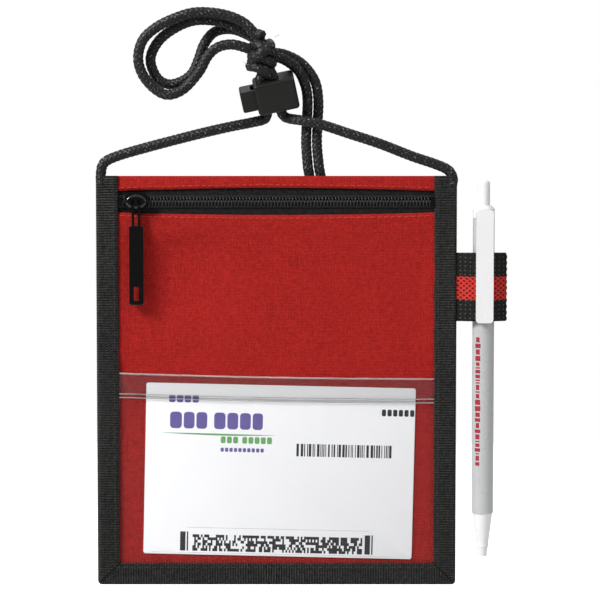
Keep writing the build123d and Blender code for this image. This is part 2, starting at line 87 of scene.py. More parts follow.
def add_piece(name, shape, body, material, replaces=None, smooth=True):
    """A new object from (points in millimetres, faces); with body None it is attached to no body."""
    points, faces = shape
    mesh = bpy.data.meshes.new(name)
    mesh.from_pydata(to_frame(points).tolist(), [], [list(face) for face in faces])
    mesh.polygons.foreach_set("use_smooth", [smooth] * len(mesh.polygons))
    mesh.materials.append(material)
    working = bmesh.new()
    working.from_mesh(mesh)
    bmesh.ops.recalc_face_normals(working, faces=working.faces)
    working.to_mesh(mesh)
    working.free()
    piece = bpy.data.objects.new(name, mesh)
    bpy.context.scene.collection.objects.link(piece)
    if body:
        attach(piece, body)
    if replaces:
        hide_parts(replaces)
    return piece


def grid_faces(rows, columns, start=0, flip=False, closed=False):
    """Four-sided faces of a rows by columns grid of points; closed joins the last column to the first."""
    faces = []
    for i in range(rows - 1):
        for j in range(columns if closed else columns - 1):
            here, beside = start + i * columns + j, start + i * columns + (j + 1) % columns
            face = (here, beside, beside + columns, here + columns)
            faces.append((face[0], face[3], face[2], face[1]) if flip else face)
    return faces


def rim_faces(rows, columns, front, back):
    """The narrow faces that join the edges of a front grid to a matching back grid."""
    edge = list(range(columns))
    edge += [i * columns + columns - 1 for i in range(1, rows)]
    edge += [(rows - 1) * columns + j for j in range(columns - 2, -1, -1)]
    edge += [i * columns for i in range(rows - 2, 0, -1)]
    faces = []
    for here, there in zip(edge, edge[1:] + edge[:1]):
        faces.append((front + there, front + here, back + here, back + there))
    return faces


def closed_sheet(front, back):
    """Points and faces of a closed sheet between two grids of points, shaped (rows, columns, 3)."""
    rows, columns = front.shape[:2]
    points = np.concatenate([front.reshape(-1, 3), back.reshape(-1, 3)])
    faces = grid_faces(rows, columns)
    faces += grid_faces(rows, columns, start=rows * columns, flip=True)
    faces += rim_faces(rows, columns, 0, rows * columns)
    return points, faces


def sheet(reach, columns, rows, low_z, high_z, front_y, thickness):
    """A sheet between the edges low_z(x) and high_z(x), with its front at front_y(x, z)."""
    front = np.zeros((rows, columns, 3))
    for j, x in enumerate(np.linspace(-reach, reach, columns)):
        for i, z in enumerate(np.linspace(low_z(x), high_z(x), rows)):
            front[i, j] = (x, front_y(x, z), z)
    return closed_sheet(front, front + (0, thickness, 0))


def skin(loops):
    """Points and faces of a solid drawn over matching loops, with a flat cap at each end."""
    count = len(loops[0])
    points = np.array(loops).reshape(-1, 3)
    faces = grid_faces(len(loops), count, closed=True)
    faces.append(tuple(range(count)))
    faces.append(tuple(len(points) - 1 - j for j in range(count)))
    return points, faces


def rounded_outline(x0, z0, width, height, radius, steps):
    """The outline of a rectangle with rounded corners, each drawn in the given number of steps."""
    outline = []
    for right, top, first in ((1, 1, 0), (0, 1, 90), (0, 0, 180), (1, 0, 270)):
        for k in range(steps + 1):
            angle = math.radians(first + 90 / steps * k)
            x = x0 + radius + right * (width - 2 * radius) + radius * math.cos(angle)
            z = z0 + radius + top * (height - 2 * radius) + radius * math.sin(angle)
            outline.append((x, z))
    return outline


def flow(corners, step):
    """A smooth curve through the given points, resampled at an even step."""
    given = np.array([corners[0], *corners, corners[-1]], float)
    given[0] = 2 * given[1] - given[2]
    given[-1] = 2 * given[-2] - given[-3]
    samples = []
    for before, here, there, after in zip(given, given[1:], given[2:], given[3:]):
        for t in np.linspace(0, 1, 24, endpoint=False):
            pull = 2 * here + (there - before) * t
            pull = pull + (2 * before - 5 * here + 4 * there - after) * t**2
            pull = pull + (3 * here - before - 3 * there + after) * t**3
            samples.append(pull / 2)
    samples = np.array([*samples, given[-2]])
    length = np.concatenate([[0], np.cumsum(np.linalg.norm(np.diff(samples, axis=0), axis=1))])
    even = np.linspace(0, length[-1], max(3, int(length[-1] / step) + 1))
    return np.stack([np.interp(even, length, samples[:, axis]) for axis in range(3)], axis=1)


def carried_axes(path):
    """Two side directions at each point of a path, turned as little as possible along it."""
    along = np.gradient(path, axis=0)
    along /= np.linalg.norm(along, axis=1)[:, None]
    side = np.cross(along[0], (0.0, 1.0, 0.0))
    if np.linalg.norm(side) < 0.1:
        side = np.cross(along[0], (1.0, 0.0, 0.0))
    sides = []
    for direction in along:
        side = side - direction * side.dot(direction)
        side = side / np.linalg.norm(side)
        sides.append(side)
    sides = np.array(sides)
    return sides, np.cross(along, sides)


def tube(path, radius_at, around):
    """Points and faces of a closed tube; radius_at(angles, distance) gives each ring's radii."""
    side, up = carried_axes(path)
    angles = np.linspace(0, 2 * math.pi, around, endpoint=False)
    distance = np.concatenate([[0], np.cumsum(np.linalg.norm(np.diff(path, axis=0), axis=1))])
    rings = []
    for k, middle in enumerate(path):
        radii = radius_at(angles, distance[k])[:, None]
        rings.append(middle + radii * (np.cos(angles)[:, None] * side[k] + np.sin(angles)[:, None] * up[k]))
    points = np.concatenate([*rings, path[:1], path[-1:]])
    faces = grid_faces(len(path), around, closed=True)
    first, last = len(points) - 2, len(points) - 1
    tail = (len(path) - 1) * around
    for j in range(around):
        faces.append((first, (j + 1) % around, j))
        faces.append((last, tail + j, tail + (j + 1) % around))
    return points, faces


def even(radius):
    """A radius_at for a plain round tube."""
    return lambda angles, distance: np.full(len(angles), radius)


def join_shapes(shapes):
    """One (points, faces) pair from many."""
    points, faces, start = [], [], 0
    for some_points, some_faces in shapes:
        points.append(np.asarray(some_points))
        faces += [tuple(start + index for index in face) for face in some_faces]
        start += len(some_points)
    return np.concatenate(points), faces


def thread(start, end, radius, sag=0.0):
    """A short stitch whose ends dip into the cloth: towards +y, or towards -y if sag is negative."""
    start, end = np.asarray(start, float), np.asarray(end, float)
    path = []
    for t in np.linspace(0, 1, 6):
        dip = sag * (2 * t - 1) ** 4
        path.append(start + (end - start) * t + np.array([0, dip, 0]))
    path = np.array(path)
    return tube(path, even(radius), 6)


def swell(value, low, high):
    """0 below low, 1 above high, and smooth between."""
    t = np.clip((value - low) / (high - low), 0, 1)
    return t * t * (3 - 2 * t)


def ripple(x, z, scale, seed):
    """Smooth unevenness between about -1 and 1."""
    return noise.noise(Vector((x / scale, z / scale, seed)))


def bow(x):
    """1 on the pouch's centre line, curving to 0 at the binding and beyond it."""
    return math.cos(x / INNER_X * math.pi / 2) if abs(x) < INNER_X else 0.0


# ---- materials ----
WAVE_PER_MM = 2 * math.pi * 1000 / 20  # wave texture scale for one band per millimetre
CLOTH_SHINE = 0.12
MITRE_SEAM = 0.35  # half width of the dark seam at a mitre
STRIPE_LEAN = math.radians(50)  # how far the webbing stripe's plaited yarns lean
BLACK, WHITE = (0.0, 0.0, 0.0), (1.0, 1.0, 1.0)


def grey(level):
    return (level, level, level)


def fill(tree, socket, value):
    """Sets a node's input to a number or colour, or links it to another node's output."""
    if isinstance(value, bpy.types.NodeSocket):
        tree.links.new(value, socket)
    elif socket.type == "RGBA":
        socket.default_value = (*value, 1)
    else:
        socket.default_value = value


def fill_in(tree, node, **inputs):
    """Fills the named inputs of a node, with _ standing for the spaces in their names."""
    for name, value in inputs.items():
        fill(tree, node.inputs[name.replace("_", " ")], value)
    return node


def add_node(tree, kind, **inputs):
    return fill_in(tree, tree.nodes.new("ShaderNode" + kind), **inputs)


def shader(name, colour, roughness, metallic=0.0, shine=0.5):
    """A new node material: (material, its node tree, the main shader node)."""
    material = bpy.data.materials.new(name)
    material.use_nodes = True
    tree = material.node_tree
    main = tree.nodes["Principled BSDF"]
    fill_in(tree, main, Base_Color=colour, Roughness=roughness, Metallic=metallic, Specular_IOR_Level=shine)
    return material, tree, main


def position(tree, scale=(1, 1, 1), turn=(0, 0, 0)):
    """Object-space position, in metres times scale."""
    where = add_node(tree, "TexCoord").outputs["Object"]
    return add_node(tree, "Mapping", Vector=where, Scale=scale, Rotation=turn).outputs["Vector"]


def speckle(tree, vector, scale, detail=2.0):
    """Random cloudiness, from 0 to 1."""
    return add_node(tree, "TexNoise", Vector=vector, Scale=scale, Detail=detail).outputs["Fac"]


def stripes(tree, vector, scale, direction, distortion):
    """Parallel bands, from 0 to 1, that follow one another along X or Z."""
    wave = add_node(tree, "TexWave", Vector=vector, Scale=scale, Distortion=distortion, Detail=1.0)
    wave.bands_direction = direction
    return wave.outputs["Fac"]


def ramp(tree, factor, stops):
    """Colours from a factor; stops is a list of (place, colour)."""
    node = add_node(tree, "ValToRGB", Fac=factor)
    elements = node.color_ramp.elements
    for element, (place, colour) in zip(elements, (stops[0], stops[-1])):
        element.position = place
        element.color = (*colour, 1)
    for place, colour in stops[1:-1]:
        elements.new(place).color = (*colour, 1)
    return node.outputs["Color"]


def combine(tree, first, second, operation):
    """Arithmetic on two values, each a number or another node's output."""
    node = add_node(tree, "Math")
    node.operation = operation
    fill(tree, node.inputs[0], first)
    fill(tree, node.inputs[1], second)
    return node.outputs["Value"]


def tint(tree, factor, first, second, blend="MIX"):
    """The first colour blended with the second by a factor; each a value or a node's output."""
    node = add_node(tree, "Mix")
    node.data_type = "RGBA"
    node.blend_type = blend
    for index, value in ((0, factor), (6, first), (7, second)):
        fill(tree, node.inputs[index], value)
    return node.outputs[2]


def relief(tree, main, height, depth_mm, strength=1.0):
    """Fine unevenness of the surface that is too small to model."""
    bump = add_node(tree, "Bump", Height=height, Distance=depth_mm * MM, Strength=strength)
    fill_in(tree, main, Normal=bump.outputs["Normal"])


def woven(name, dark, light, thread_mm, sheen, depth_mm=0.12):
    """Plain weave: two crossed sets of threads, with uneven dye, a few bright fibres and painted shade in the
    gaps between threads.
    """
    material, tree, main = shader(name, light, 0.85, shine=CLOTH_SHINE)
    where = position(tree)
    bands = WAVE_PER_MM / thread_mm
    warp = stripes(tree, where, bands, "X", 0.6)
    weft = stripes(tree, where, bands, "Z", 0.6)
    weave = combine(tree, warp, weft, "MULTIPLY")
    upright = speckle(tree, position(tree, (1, 1, 0.22)), 2400)
    crossing = speckle(tree, position(tree, (0.22, 1, 1)), 2400)
    threads = combine(tree, upright, crossing, "MAXIMUM")
    fine = ramp(tree, threads, [(0.42, dark), (0.72, light)])
    broad = combine(tree, speckle(tree, where, 22), 0.35, "MULTIPLY")
    faded = tint(tree, broad, fine, light)
    # painted shade: the colour darkens in the gaps between the threads
    shade = ramp(tree, weave, [(0.0, grey(0.62)), (0.5, WHITE)])
    colour = tint(tree, 0.8, faded, shade, "MULTIPLY")
    fill_in(tree, main, Base_Color=colour, Sheen_Weight=sheen, Sheen_Roughness=0.4)
    relief(tree, main, combine(tree, weave, threads, "ADD"), depth_mm)
    return material


def moulded(name, colour, roughness, grain_mm=0.0, coat=0.0, metallic=0.0, mottling=0.06, shine=0.5):
    """Plastic or enamel: slight mottling in colour and gloss, and a fine moulded grain."""
    material, tree, main = shader(name, colour, roughness, metallic, shine)
    where = position(tree)
    darker = tuple(c * (1 - 2 * mottling) for c in colour)
    mottled = ramp(tree, speckle(tree, where, 120, 4), [(0.35, darker), (0.65, colour)])
    low, high = max(0.02, roughness * 0.8), roughness * 1.25
    smear = combine(tree, speckle(tree, where, 400, 5), high - low, "MULTIPLY")
    gloss = combine(tree, smear, low, "ADD")
    fill_in(tree, main, Base_Color=mottled, Roughness=gloss, Coat_Weight=coat)
    if grain_mm:
        relief(tree, main, speckle(tree, where, 2600, 2), grain_mm)
    return material


def braided(name, dark, light):
    """Cord yarn: near black, with grey glints painted into its colour on the strands that lie on top."""
    material, tree, main = shader(name, dark, 0.5, shine=0.3)
    fibres = speckle(tree, position(tree), 1100, 3)
    strand = add_node(tree, "Attribute")
    strand.attribute_name = "raised"
    lit = combine(tree, strand.outputs["Fac"], fibres, "MULTIPLY")
    # painted highlight: the colour turns grey on the raised strands, as glints
    glints = ramp(tree, lit, [(0.38, dark), (0.45, dark), (0.60, light)])
    fill_in(tree, main, Base_Color=glints, Sheen_Weight=0.05)
    relief(tree, main, fibres, 0.15)
    return material


def reopened(material):
    """A woven material's parts, for more to be added: (node tree, main shader, its colour so far)."""
    tree = material.node_tree
    main = tree.nodes["Principled BSDF"]
    return tree, main, main.inputs["Base Color"].links[0].from_socket


def ribbed_tape(name, dark, light, pitch_mm):
    """Binding tape: cross ribs that turn the corner at each mitre, with painted shade in the grooves between
    them and a dark seam along it.
    """
    material = woven(name, dark, light, 0.5, sheen=0.03)
    tree, main, weave = reopened(material)
    where = position(tree)
    split = add_node(tree, "SeparateXYZ", Vector=where)
    off_centre = combine(tree, split.outputs["X"], ORIGIN.x, "SUBTRACT")
    outward = combine(tree, off_centre, 0.0, "ABSOLUTE")
    inset = combine(tree, HALF_W * MM, outward, "SUBTRACT")
    past_mitre = combine(tree, split.outputs["Z"], inset, "SUBTRACT")
    on_side = combine(tree, past_mitre, 0.0, "GREATER_THAN")
    from_mitre = combine(tree, past_mitre, 0.0, "ABSOLUTE")
    on_seam = combine(tree, from_mitre, MITRE_SEAM * MM, "LESS_THAN")
    bands = WAVE_PER_MM / pitch_mm
    bottom_ribs = stripes(tree, where, bands, "X", 0.7)
    side_ribs = stripes(tree, where, bands, "Z", 0.7)
    ribs = tint(tree, on_side, bottom_ribs, side_ribs)
    # painted shade: the colour darkens in the grooves between the ribs
    shade = ramp(tree, ribs, [(0.1, grey(0.30)), (0.6, grey(0.80)), (0.95, WHITE)])
    ribbed = tint(tree, 1.0, weave, shade, "MULTIPLY")
    fill_in(tree, main, Base_Color=tint(tree, on_seam, ribbed, dark))
    return material


def banded_webbing(name, dark, light, fleck, red, stripe_low, stripe_high):
    """Coarse webbing with a coloured stripe down the middle, between two heights in metres."""
    material = woven(name, dark, light, 1.1, sheen=0.03, depth_mm=0.1)
    tree, main, weave = reopened(material)
    where = position(tree)
    height = add_node(tree, "SeparateXYZ", Vector=where).outputs["Z"]
    above = combine(tree, height, stripe_low, "GREATER_THAN")
    below = combine(tree, height, stripe_high, "LESS_THAN")
    inside = combine(tree, above, below, "MULTIPLY")
    warp = stripes(tree, where, WAVE_PER_MM / 1.8, "X", 1.5)
    weft = stripes(tree, where, WAVE_PER_MM / 1.6, "Z", 1.5)
    is_fleck = ramp(tree, combine(tree, warp, weft, "MULTIPLY"), [(0.78, BLACK), (0.9, WHITE)])
    flecked = tint(tree, is_fleck, weave, fleck)
    leaning = []
    for lean in (STRIPE_LEAN, -STRIPE_LEAN):
        leaning.append(stripes(tree, position(tree, turn=(0, lean, 0)), WAVE_PER_MM / 1.35, "X", 0.5))
    plait = combine(tree, *leaning, "MAXIMUM")
    red_yarn = ramp(tree, plait, [(0.45, tuple(c * 0.22 for c in red)), (0.85, red)])
    fill_in(tree, main, Base_Color=tint(tree, inside, flecked, red_yarn))
    return material


def vinyl(name, haze_and_highlight, roughness):
    """Clear flexible film: see-through, with soft reflections and a little cloudiness, which at its strongest
    stands in for painted highlight.
    """
    material, tree, main = shader(name, (0.92, 0.94, 0.94), roughness)
    where = position(tree)
    clear = add_node(tree, "BsdfTransparent", Color=grey(0.965))
    edge_on = add_node(tree, "Fresnel", IOR=1.45)
    glare = combine(tree, edge_on.outputs[0], 0.12, "MULTIPLY")
    cloud = combine(tree, speckle(tree, where, 60, 3), haze_and_highlight, "MULTIPLY")
    mixer = add_node(tree, "MixShader", Fac=combine(tree, cloud, glare, "ADD"))
    fill(tree, mixer.inputs[1], clear.outputs[0])
    fill(tree, mixer.inputs[2], main.outputs[0])
    fill_in(tree, tree.nodes["Material Output"], Surface=mixer.outputs[0])
    relief(tree, main, speckle(tree, where, 90, 2), 0.5, 0.6)
    return material


RED_DARK, RED = (0.27, 0.008, 0.007), (0.50, 0.020, 0.015)
red_fabric = woven("red_fabric", RED_DARK, RED, 0.55, sheen=0.06)
RIB_PITCH = 0.95
binding_tape = ribbed_tape("binding_tape", grey(0.008), (0.072, 0.072, 0.069), RIB_PITCH)
zip_tape_cloth = woven("zip_tape_cloth", grey(0.005), (0.022, 0.022, 0.021), 0.4, sheen=0.03)
black_thread = moulded("black_thread", (0.040, 0.040, 0.038), 0.6, shine=0.2)
red_thread = moulded("red_thread", (0.52, 0.055, 0.04), 0.6, shine=0.2)
cord_yarn = braided("cord_yarn", grey(0.004), (0.36, 0.36, 0.34))
zip_nylon = moulded("zip_nylon", grey(0.022), 0.3, shine=0.3)
black_enamel = moulded("black_enamel", grey(0.004), 0.10, coat=0.3)
lock_plastic = moulded("lock_plastic", (0.010, 0.010, 0.009), 0.38, grain_mm=0.02, shine=0.22)
spring_steel = moulded("spring_steel", (0.55, 0.55, 0.56), 0.3, metallic=1.0)
tip_brass = moulded("tip_brass", (0.60, 0.45, 0.20), 0.25, metallic=1.0)
white_plastic = moulded("white_plastic", grey(0.77), 0.25, mottling=0.01)
barrel_plastic = moulded("barrel_plastic", (0.46, 0.465, 0.47), 0.28, coat=0.2, mottling=0.006)
inner_plastic = moulded("inner_plastic", (0.6, 0.62, 0.64), 0.3, mottling=0.03)
card_stock = moulded("card_stock", (0.92, 0.92, 0.935), 0.45, grain_mm=0.004, mottling=0.008)
print_black = moulded("print_black", grey(0.02), 0.5, mottling=0.1)
print_grey = moulded("print_grey", (0.55, 0.55, 0.57), 0.5)
print_violet = moulded("print_violet", (0.14, 0.11, 0.36), 0.5)
print_green = moulded("print_green", (0.16, 0.42, 0.14), 0.5)
print_red = moulded("print_red", (0.32, 0.015, 0.03), 0.4)
window_vinyl = vinyl("window_vinyl", 0.004, 0.06)
hem_vinyl = vinyl("hem_vinyl", 0.014, 0.10)
# painted highlight: a strong whitish cloud on the fold and weld lines stands in for their bright edges
weld_vinyl = vinyl("weld_vinyl", 0.40, 0.15)


# ---- pouch fabric ----
PLY_T = 0.5
PLY_REACH = HALF_W - 0.9  # the plies' side edges, hidden inside the binding
FRONT_Y = -1.1  # outer face of the front ply and of the header
BACK_Y = 0.6  # inner face of the back ply
CORNER_R = 2.6
FOLD_LAP = 0.9  # how far the folded edges beside the zip reach past the CAD's

CLOTH_GRID = 45
CLOTH_FRAMES = 14
CLOTH_SLACK = 0.0012
CLOTH_CAP = 0.7  # the settled relief levels off at this depth
START_RIPPLE = 0.25

SLACK_DEPTH = 0.45  # how deep the front ply lies on average above the window
SLACK_BOTTOM, SLACK_TOP = (WINDOW_TOP - 2, WINDOW_TOP + 10), (126, 134)
HOLLOW_DEPTH = 2.1
HOLLOW_LEFT, HOLLOW_RIGHT = (-50, -39), (-37, -10)
HOLLOW_BOTTOM, HOLLOW_TOP = (90, 108), (121, 134)


def settled_relief(name, z_low, z_high, seed):
    """How far a slack ply sewn along its edges stands out (mm), from a short cloth simulation."""
    xs = np.linspace(-INNER_X, INNER_X, CLOTH_GRID)
    zs = np.linspace(z_low, z_high, CLOTH_GRID)
    flat = np.array([[(x, START_RIPPLE * ripple(x, z, 23, seed), z) for x in xs] for z in zs])
    mesh = bpy.data.meshes.new(name)
    mesh.from_pydata((flat.reshape(-1, 3) * MM).tolist(), [], grid_faces(CLOTH_GRID, CLOTH_GRID))
    cloth = bpy.data.objects.new(name, mesh)
    bpy.context.scene.collection.objects.link(cloth)
    sewn = cloth.vertex_groups.new(name="sewn")
    border = (0, CLOTH_GRID - 1)
    for i in range(CLOTH_GRID):
        for j in range(CLOTH_GRID):
            if i in border or j in border:
                sewn.add([i * CLOTH_GRID + j], 1.0, "REPLACE")
    modifier = cloth.modifiers.new("cloth", "CLOTH")
    modifier.settings.vertex_group_mass = "sewn"
    modifier.settings.shrink_min = -CLOTH_SLACK
    modifier.settings.quality = 6
    modifier.settings.bending_stiffness = 4.0
    modifier.settings.effector_weights.gravity = 0
    modifier.point_cache.frame_end = CLOTH_FRAMES
    for number in range(1, CLOTH_FRAMES + 1):
        bpy.context.scene.frame_set(number)
    settled = cloth.evaluated_get(bpy.context.evaluated_depsgraph_get())
    depth = np.array([point.co.y for point in settled.data.vertices]).reshape(flat.shape[:2]) / MM
    bpy.data.objects.remove(cloth)
    bpy.context.scene.frame_set(1)
    return xs, zs, CLOTH_CAP * np.tanh(depth / CLOTH_CAP)


def look_up(field, x, z):
    """The settled relief at a point, faded to nothing at the sewn side edges."""
    xs, zs, depth = field
    column = np.interp(x, xs, np.arange(len(xs)))
    row = np.interp(z, zs, np.arange(len(zs)))
    i, j = int(min(row, len(zs) - 2)), int(min(column, len(xs) - 2))
    u, v = row - i, column - j
    near = depth[i, j] * (1 - v) + depth[i, j + 1] * v
    far = depth[i + 1, j] * (1 - v) + depth[i + 1, j + 1] * v
    return ((1 - u) * near + u * far) * swell(INNER_X - abs(x), -1, 6)


def ply(name, low_z, high_z, y, relief_at, replaced, step=1.6):
    """A fabric ply: low_z and high_z give its lower and upper edge at each x."""
    rows = max(5, int((high_z(0) - low_z(0)) / step))
    shape = sheet(
        PLY_REACH, int(2 * PLY_REACH / step), rows, low_z, high_z, lambda x, z: y + relief_at(x, z), PLY_T)
    add_piece(name, shape, "pouch", red_fabric, replaced)


def bottom_edge(x):
    """The plies' lower edge, rounded at the pouch's bottom corners."""
    past = max(0.0, abs(x) - (HALF_W - 0.7 - CORNER_R))
    return 0.8 + CORNER_R - math.sqrt(max(0.0, CORNER_R**2 - past**2))


def mouth_edge(x):
    """The front ply's folded top edge, which droops a little in the middle of the zip."""
    return MOUTH_Z + FOLD_LAP - 1.0 * bow(x) ** 0.7


def header_edge(x):
    """The header's folded lower edge, lifted a little in the middle."""
    return HEADER_Z - FOLD_LAP + 1.1 * bow(x)


front_field = settled_relief("front_settle", WINDOW_TOP, MOUTH_Z, 3.0)
back_field = settled_relief("back_settle", 6.0, POUCH_H - 4, 8.0)


def pushed_in(x, z):
    """The hollow beside the zip pull, steep on its left, which presses on both plies."""
    across = swell(x, *HOLLOW_LEFT) * (1 - swell(x, *HOLLOW_RIGHT))
    return across * swell(z, *HOLLOW_BOTTOM) * (1 - swell(z, *HOLLOW_TOP))


def front_relief(x, z):
    """The front ply: slack that only sinks in, so that the card can pass in front of it.

    Only the folded hem under the zip stands out, and the slight ripple behind the window.
    """
    in_field = swell(z, *SLACK_BOTTOM) * (1 - swell(z, *SLACK_TOP)) * swell(INNER_X - abs(x), 0, 5)
    slack = max(0.0, SLACK_DEPTH + look_up(front_field, x, z) * SLACK_DEPTH)
    pushed = pushed_in(x, z)
    sunk = slack * (1 - pushed) + HOLLOW_DEPTH * pushed
    flat = 0.06 * ripple(x, z, 17, 5.0)
    from_edge = z - mouth_edge(x)
    fold = 0.25 * swell(from_edge, -0.5, 0.0) - 0.22 * swell(from_edge, -2.6, -2.0)
    return in_field * sunk + (1 - in_field) * flat + fold


def back_relief(x, z):
    """The back ply: shallow gathers between its edges, and the far side of the hollow."""
    gathered = 0.6 * abs(look_up(back_field, x, z)) * swell(z, 3, 12) * swell(POUCH_H - z, 2, 10)
    return gathered + (HOLLOW_DEPTH - 1.0) * pushed_in(x, z)


def header_relief(x, z):
    """The header: a folded hem above the zip, a rounded top edge and a slight ripple."""
    hem = 0.25 * swell(z - header_edge(x), 2.2, 1.6)
    top = 0.22 * swell(z, POUCH_H - 0.6, POUCH_H)
    return top - hem + 0.14 * ripple(x, z, 9, 2.0) * swell(INNER_X - abs(x), 0, 6)


ply("front_ply", bottom_edge, mouth_edge, FRONT_Y, front_relief, "front_panel")
ply("back_ply", bottom_edge, lambda x: POUCH_H - 0.05, BACK_Y, back_relief, "back_panel")
ply("header_ply", header_edge, lambda x: POUCH_H, FRONT_Y, header_relief, "header_band", 0.8)


# ---- stitching ----
def stitch_row(path_at, length, pitch, share, radius, sag):
    """Stitches along a line; path_at(distance) gives a point, share is how much is thread."""
    stitches = []
    for k in range(int(length / pitch)):
        stitches.append(thread(path_at(k * pitch), path_at(k * pitch + pitch * share), radius, sag))
    return join_shapes(stitches)


def zip_stitches():
    """The runs of red stitching along the front ply's folded edge and the header's."""
    first_x = -INNER_X + 0.8
    length = 2 * INNER_X - 2

    def along_mouth(distance):
        x = first_x + distance
        z = mouth_edge(x) - 1.2
        return x, front_relief(x, z) - 1.18, z

    def along_header(distance):
        x = first_x + distance
        return x, -1.42, header_edge(x) + 1.1

    mouth = stitch_row(along_mouth, length, 2.5, 0.72, 0.14, 0.28)
    header = stitch_row(along_header, length, 2.5, 0.72, 0.12, 0.28)
    return join_shapes([mouth, header])


add_piece("zip_stitches", zip_stitches(), "pouch", red_thread)

# ---- edge binding ----
RIB_DEPTH = 0.17
BINDING_CORNER = 1.6
SINK_RANGE = (WINDOW_TOP - 3, WINDOW_TOP + 9)


def rounded_corner(x, z):
    """Pulls a point in where the pouch's bottom corners are rounded."""
    dx = abs(x) - (HALF_W - BINDING_CORNER)
    dz = BINDING_CORNER - z
    if dx > 0 and dz > 0:
        squeeze = max(dx, dz) / math.hypot(dx, dz)
        x = math.copysign(HALF_W - BINDING_CORNER + dx * squeeze, x)
        z = BINDING_CORNER - dz * squeeze
    return x, z


def tape_outline(sink):
    """The folded tape's section: (inset from the pouch's edge, depth, how much it is ribbed)."""
    front_in, front_out = -1.95 + sink, -2.5 + sink * 0.85
    inset = BINDING_W
    outer = [
        (inset + 0.1, front_in - 0.25, 0.3), (inset - 0.25, front_out, 1),
        (inset * 0.75, front_out - 0.02, 1), (inset * 0.5, front_out, 1),
        (inset * 0.28, front_out + 0.02, 1), (1.1, -2.42 + sink * 0.3, 1),
        (0.35, -1.95, 1), (0.0, -1.0, 1), (0.0, 0.3, 1), (0.3, 1.2, 1), (1.0, 1.62, 1),
        (inset * 0.4, BACK_OF_BINDING, 1), (inset * 0.7, BACK_OF_BINDING, 1),
        (inset - 0.2, 1.66, 1), (inset + 0.1, 1.42, 0.3),
    ]
    inner = [
        (inset, 1.16, 0), (inset * 0.5, 1.16, 0), (1.3, 1.12, 0), (0.6, 0.3, 0), (0.6, -1.0, 0),
        (1.3, -1.85 + sink * 0.3, 0), (inset * 0.5, front_in, 0), (inset, front_in, 0),
    ]
    return outer + inner


def tape_strip(length, place, start_mitre, end_mitre, sink_at, seed):
    """One straight run of binding; place(along, inset) gives (x, z)."""
    steps = int(length / (RIB_PITCH / 6))
    rings = []
    for k in range(steps + 1):
        share = k / steps
        middle = share * length
        wander = 0.16 * ripple(middle, seed, 11, seed) + 0.10 * ripple(middle, seed, 3.5, seed + 1)
        ring = []
        for inset, depth, ribbed in tape_outline(sink_at(middle)):
            inward = inset / BINDING_W
            low = inset if start_mitre else 0.0
            high = length - (inset if end_mitre else 0.0)
            along = low + (high - low) * share
            rib = RIB_DEPTH * ribbed * math.cos(2 * math.pi * along / RIB_PITCH)
            pucker = 0.10 * ripple(along, inset * 0.6, 5.5, seed + 4) * ribbed
            x, z = rounded_corner(*place(along, inset + wander * inward + rib * 0.35 * (1 - inward)))
            outward = -1 if depth < -0.4 else 1
            ring.append((x, depth + outward * (rib + pucker) * min(1.0, 0.25 + inward * 2), z))
        rings.append(ring)
    return skin(rings)


def front_sink(z):
    """How far the tape's front sinks back above the window, where there is no vinyl under it."""
    return 0.72 * swell(z, *SINK_RANGE)


def binding_shapes():
    """The three runs of tape, mitred where they meet at the bottom corners."""
    left = tape_strip(
        POUCH_H, lambda along, inset: (-HALF_W + inset, POUCH_H - along), False, True,
        lambda along: front_sink(POUCH_H - along), 1.0)
    bottom = tape_strip(
        2 * HALF_W, lambda along, inset: (-HALF_W + along, inset), True, True, lambda along: 0.0, 4.0)
    right = tape_strip(
        POUCH_H, lambda along, inset: (HALF_W - inset, along), True, False, front_sink, 7.0)
    return join_shapes([left, bottom, right])


add_piece("edge_tape", binding_shapes(), "pouch", binding_tape, "edge_binding")


def tape_stitches(y, sink, sag):
    """The row that holds the tape down on one face, up both sides and along the bottom."""
    inset = BINDING_W - 1.5
    rows = []
    for side in (-1, 1):
        rows.append(stitch_row(
            lambda d: (side * (HALF_W - inset), y + sink * swell(inset + d, *SINK_RANGE), inset + d),
            POUCH_H - inset - 1, 2.7, 0.7, 0.13, sag))
    rows.append(stitch_row(
        lambda d: (-HALF_W + inset + d, y, inset), 2 * (HALF_W - inset), 2.7, 0.7, 0.13, sag))
    return rows


def bar_tacks():
    """The short rows of thread over the cord's ends."""
    tacks = []
    for side in (-1, 1):
        for k in range(4):
            z = POUCH_H - 1.2 - 0.75 * k
            for inset in (1.2, 3.4, 5.6):
                start = (side * (HALF_W - inset), -2.06, z)
                end = (side * (HALF_W - inset - 1.8), -2.0, z)
                tacks.append(thread(start, end, 0.14, 0.2))
    return tacks


black_stitches = tape_stitches(-2.60, 0.60, 0.25) + tape_stitches(1.78, 0.0, -0.25) + bar_tacks()
add_piece("binding_stitches", join_shapes(black_stitches), "pouch", black_thread)

# ---- zip ----
TAPE_Y = -0.55
TAPE_T = 0.33
TOOTH_PITCH = 1.22
# One turn of the upper coil, from its pitch point and the middle of the zip.
COIL_TURN = (
    (-0.30, -0.70, 1.70), (-0.22, -1.35, 1.45), (-0.06, -1.62, 0.55), (0.02, -1.50, -0.25),
    (0.10, -1.05, -0.40), (0.22, -0.75, 0.5), (0.34, -0.70, 1.60),
)


def tape_sheet(z_low, z_high):
    """One zip tape, with shallow ribs along it."""
    def front_y(x, z):
        return TAPE_Y + 0.05 * ripple(x, z, 4, 6.0) - 0.06 * math.sin((z - z_low) * 4.2) ** 2

    return sheet(PLY_REACH, 120, 12, lambda x: z_low, lambda x: z_high, front_y, TAPE_T)


for name, z_low, z_high in (("upper", ZIP_Z + 0.5, HEADER_Z + 2.9), ("lower", MOUTH_Z - 2.9, ZIP_Z - 0.5)):
    shape = tape_sheet(z_low, z_high)
    add_piece(f"tape_{name}", shape, "pouch", zip_tape_cloth, f"zip_tape_{name}")


def seam_radius(angles, distance):
    """The cord of thread that sews a coil down, pinched at each stitch."""
    return np.full(len(angles), 0.26 + 0.07 * math.cos(distance * 6))


